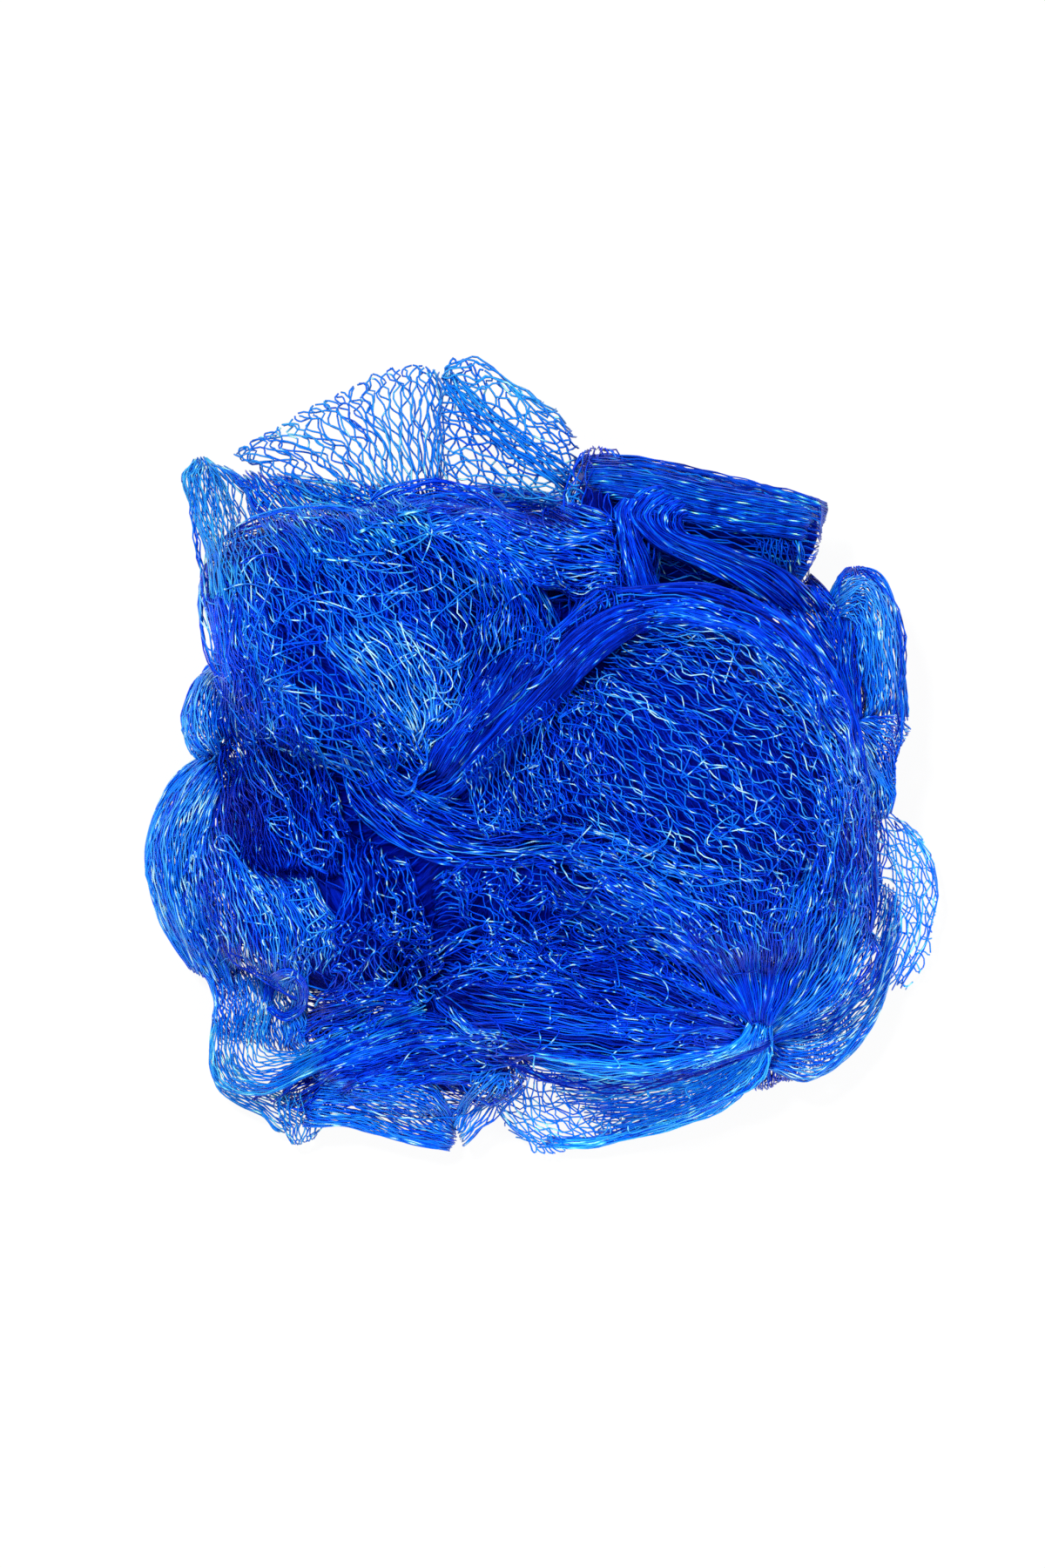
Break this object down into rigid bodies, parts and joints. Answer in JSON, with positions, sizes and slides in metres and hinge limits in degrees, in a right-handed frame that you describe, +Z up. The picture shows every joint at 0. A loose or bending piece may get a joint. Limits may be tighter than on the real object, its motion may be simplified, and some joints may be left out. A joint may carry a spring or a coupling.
{
  "type": "pot scrubber",
  "caption": "Crumpled wad of soft blue plastic diamond net, gathered into pleated lobes with loose net flaps round its edge, for scrubbing pots by hand.",
  "frame": {"origin": "on the surface that the wad rests on, under its middle, in the flat of the pressed underside", "axes": "+X is the wad's right and +Y its top as seen from above, and +Z is up, the shortest way through the wad"},
  "size_m": [0.1285, 0.1237, 0.0635],
  "materials": {
    "net_fold": "glossy drawn polyethylene filament, in many layers of net",
    "net_bundle": "the same filament drawn tight side by side, with a sheen along it",
    "net_single_layer": "the same filament in one open layer, so that light passes between the strands"
  },
  "bodies": {
    "root": {"front_right_lobe": "net_fold", "front_left_lobe": "net_fold", "bottom_lobe": "net_fold", "lower_left_lobe": "net_fold", "upper_fold": "net_fold", "top_centre_fold": "net_fold", "neck_fold": "net_fold", "right_ear": "net_fold", "right_side_fold": "net_fold", "bottom_right_fold": "net_fold", "left_side_fold": "net_fold", "left_ear": "net_fold", "left_bulge": "net_fold", "left_roll": "net_fold", "bottom_left_fold": "net_fold", "bottom_centre_fold": "net_fold", "back_fold": "net_fold", "base_fold": "net_fold", "heart_roll": "net_fold", "crossing_bundle": "net_bundle", "lobe_rim": "net_bundle", "lower_rim_bundle": "net_bundle", "top_fan": "net_single_layer", "top_hood": "net_single_layer", "lower_left_flap": "net_single_layer", "bottom_skirt": "net_single_layer", "right_skirt": "net_single_layer"}
  },
  "joints": []
}
